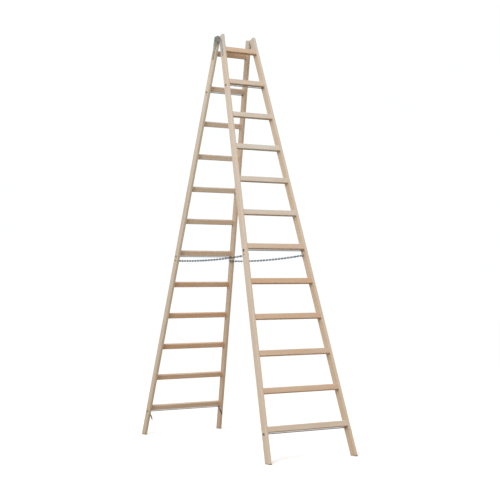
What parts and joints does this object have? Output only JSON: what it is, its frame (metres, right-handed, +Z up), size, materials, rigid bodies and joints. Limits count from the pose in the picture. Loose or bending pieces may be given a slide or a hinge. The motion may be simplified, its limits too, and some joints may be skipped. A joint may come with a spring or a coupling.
{
  "type": "wooden a-frame ladder",
  "caption": "Double-sided wooden A-frame ladder: two tapered rung sections hinged at the top on steel plates, tied by rods under some rungs, held open by side chains.",
  "frame": {"origin": "on the floor, midway between the four feet", "axes": "+X along the rungs, +Y from the front section to the back section, +Z up"},
  "size_m": [0.7632, 2.2036, 3.3399],
  "materials": {
    "stile_wood": "planed softwood, clear sealed",
    "rung_wood": "planed softwood, clear sealed",
    "hinge_steel": "dull zinc",
    "fastener_steel": "zinc plated",
    "chain_steel": "zinc plated",
    "hook_steel": "black lacquer"
  },
  "bodies": {
    "front_section": {"front_left_stile": "stile_wood", "front_left_hinge_plate": "hinge_steel", "front_right_stile": "stile_wood", "front_right_hinge_plate": "hinge_steel", "front_rung_01": "rung_wood", "front_rung_02": "rung_wood", "front_rung_03": "rung_wood", "front_rung_04": "rung_wood", "front_rung_05": "rung_wood", "front_rung_06": "rung_wood", "front_rung_07": "rung_wood", "front_rung_08": "rung_wood", "front_rung_09": "rung_wood", "front_rung_10": "rung_wood", "front_rung_11": "rung_wood", "front_rung_12": "rung_wood", "front_bottom_tie_rod": "fastener_steel", "front_middle_tie_rod": "fastener_steel", "front_top_tie_rod": "fastener_steel", "front_tie_rod_washers": "fastener_steel", "front_tie_rod_nuts": "fastener_steel", "front_hinge_screws": "fastener_steel", "front_chain_eyes": "fastener_steel", "front_chain_eye_nuts": "fastener_steel", "left_pivot_rivet": "fastener_steel", "right_pivot_rivet": "fastener_steel"},
    "back_section": {"back_left_stile": "stile_wood", "back_left_hinge_plate": "hinge_steel", "back_right_stile": "stile_wood", "back_right_hinge_plate": "hinge_steel", "back_rung_01": "rung_wood", "back_rung_02": "rung_wood", "back_rung_03": "rung_wood", "back_rung_04": "rung_wood", "back_rung_05": "rung_wood", "back_rung_06": "rung_wood", "back_rung_07": "rung_wood", "back_rung_08": "rung_wood", "back_rung_09": "rung_wood", "back_rung_10": "rung_wood", "back_rung_11": "rung_wood", "back_rung_12": "rung_wood", "back_bottom_tie_rod": "fastener_steel", "back_middle_tie_rod": "fastener_steel", "back_top_tie_rod": "fastener_steel", "back_tie_rod_washers": "fastener_steel", "back_tie_rod_nuts": "fastener_steel", "back_hinge_screws": "fastener_steel", "back_chain_eyes": "fastener_steel", "back_chain_eye_nuts": "fastener_steel", "hook_screws": "fastener_steel", "hook_washers": "fastener_steel"},
    "left_chain_front_half": {"left_chain_front_half": "chain_steel"},
    "left_chain_back_half": {"left_chain_back_half": "chain_steel"},
    "right_chain_front_half": {"right_chain_front_half": "chain_steel"},
    "right_chain_back_half": {"right_chain_back_half": "chain_steel"},
    "left_hook": {"left_hook": "hook_steel"},
    "right_hook": {"right_hook": "hook_steel"}
  },
  "joints": [
    {"name": "fold", "type": "hinge", "parent": "front_section", "child": "back_section", "pos_m": [0, 0, 3.31554], "axis": [-1, 0, 0], "range_deg": [0, 34.6], "deforming": ["left_chain_front_half", "left_chain_back_half", "right_chain_front_half", "right_chain_back_half"]},
    {"name": "left_chain_front_swing", "type": "hinge", "parent": "front_section", "child": "left_chain_front_half", "pos_m": [-0.24508, -0.58655, 1.50466], "axis": [-1, 0, 0], "range_deg": [0, 105.1]},
    {"name": "left_chain_back_swing", "type": "hinge", "parent": "back_section", "child": "left_chain_back_half", "pos_m": [-0.24508, 0.58655, 1.50466], "axis": [1, 0, 0], "range_deg": [0, 105.1]},
    {"name": "right_chain_front_swing", "type": "hinge", "parent": "front_section", "child": "right_chain_front_half", "pos_m": [0.24508, -0.58655, 1.50466], "axis": [-1, 0, 0], "range_deg": [0, 105.1]},
    {"name": "right_chain_back_swing", "type": "hinge", "parent": "back_section", "child": "right_chain_back_half", "pos_m": [0.24508, 0.58655, 1.50466], "axis": [1, 0, 0], "range_deg": [0, 105.1]},
    {"name": "left_hook_swing", "type": "hinge", "parent": "back_section", "child": "left_hook", "pos_m": [-0.34315, 1.00188, 0.18293], "axis": [-0.9979, -0.0191, 0.0614], "range_deg": [-47.7, 43.29]},
    {"name": "right_hook_swing", "type": "hinge", "parent": "back_section", "child": "right_hook", "pos_m": [0.34315, 1.00188, 0.18293], "axis": [-0.9979, 0.0191, -0.0614], "range_deg": [-47.7, 43.29]}
  ],
  "couplings": [
    {"joint": "left_chain_front_swing", "follows": "fold", "ratio": 3.0219},
    {"joint": "left_chain_back_swing", "follows": "fold", "ratio": 3.0219},
    {"joint": "right_chain_front_swing", "follows": "fold", "ratio": 3.0219},
    {"joint": "right_chain_back_swing", "follows": "fold", "ratio": 3.0219}
  ]
}
